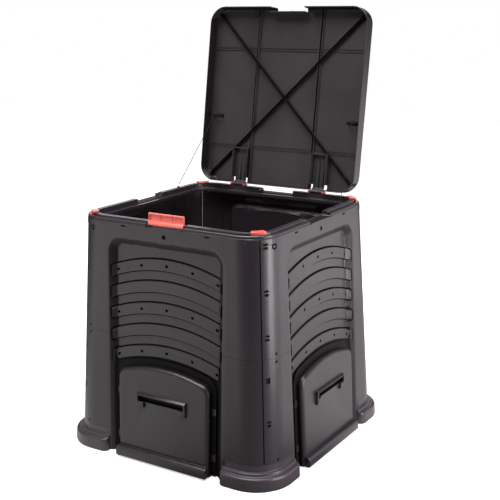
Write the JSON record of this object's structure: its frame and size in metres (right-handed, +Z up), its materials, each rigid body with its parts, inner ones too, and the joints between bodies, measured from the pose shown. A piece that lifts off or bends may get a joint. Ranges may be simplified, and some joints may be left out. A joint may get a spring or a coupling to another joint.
{
  "type": "garden compost bin",
  "caption": "Square plastic garden compost bin with louvred walls, a hinged lid on stay cords, a rim latch and lifting doors at the foot of each side.",
  "frame": {"origin": "on the ground, under the middle of the outline as it stands with the lid open; the bin's own middle is 13.9 mm in front of it", "axes": "+Z up; -Y is the front, the side with the latch; +Y is the back, where the lid is hinged; +X is the right side seen from the front"},
  "size_m": [0.8376, 0.8654, 1.4275],
  "materials": {
    "charcoal_plastic": "moulded charcoal grey plastic with a fine grain, satin in grazing light",
    "coral_plastic": "smooth moulded coral red plastic",
    "black_cord": "thin black twisted cord",
    "steel_pin": "plain steel pin"
  },
  "bodies": {
    "bin": {"upper_panel_front": "charcoal_plastic", "upper_panel_right": "charcoal_plastic", "upper_panel_back": "charcoal_plastic", "upper_panel_left": "charcoal_plastic", "lower_panel_front": "charcoal_plastic", "lower_panel_right": "charcoal_plastic", "lower_panel_back": "charcoal_plastic", "lower_panel_left": "charcoal_plastic", "corner_foot_front_right": "charcoal_plastic", "corner_foot_back_right": "charcoal_plastic", "corner_foot_back_left": "charcoal_plastic", "corner_foot_front_left": "charcoal_plastic", "corner_clip_front_right": "coral_plastic", "corner_clip_back_right": "coral_plastic", "corner_clip_back_left": "coral_plastic", "corner_clip_front_left": "coral_plastic", "hinge_bracket_left": "coral_plastic", "hinge_pin_left": "steel_pin", "stay_cord_left": "black_cord", "cord_eye_left": "charcoal_plastic", "hinge_bracket_right": "coral_plastic", "hinge_pin_right": "steel_pin", "stay_cord_right": "black_cord", "cord_eye_right": "charcoal_plastic", "latch_pin": "steel_pin"},
    "lid": {"lid": "charcoal_plastic", "hinge_arm_left": "charcoal_plastic", "hinge_arm_right": "charcoal_plastic", "cord_hook_left": "charcoal_plastic", "cord_hook_right": "charcoal_plastic"},
    "latch": {"latch_flap": "coral_plastic"},
    "front_door": {"door_front": "charcoal_plastic"},
    "right_door": {"door_right": "charcoal_plastic"},
    "back_door": {"door_back": "charcoal_plastic"},
    "left_door": {"door_left": "charcoal_plastic"}
  },
  "joints": [
    {"name": "lid_hinge", "type": "hinge", "parent": "bin", "child": "lid", "pos_m": [0, 0.3088, 0.791], "axis": [1, 0, 0], "range_deg": [0, 98.9], "deforming": ["stay_cord_left", "stay_cord_right"]},
    {"name": "latch_hinge", "type": "hinge", "parent": "bin", "child": "latch", "pos_m": [0, -0.3509, 0.783], "axis": [-1, 0, 0], "range_deg": [0, 75]},
    {"name": "front_door_lift", "type": "slide", "parent": "bin", "child": "front_door", "axis": [0, 0.0448, 0.999], "range_m": [0, 0.17]},
    {"name": "right_door_lift", "type": "slide", "parent": "bin", "child": "right_door", "axis": [-0.0448, 0, 0.999], "range_m": [0, 0.17]},
    {"name": "back_door_lift", "type": "slide", "parent": "bin", "child": "back_door", "axis": [0, -0.0448, 0.999], "range_m": [0, 0.17]},
    {"name": "left_door_lift", "type": "slide", "parent": "bin", "child": "left_door", "axis": [0.0448, 0, 0.999], "range_m": [0, 0.17]}
  ]
}
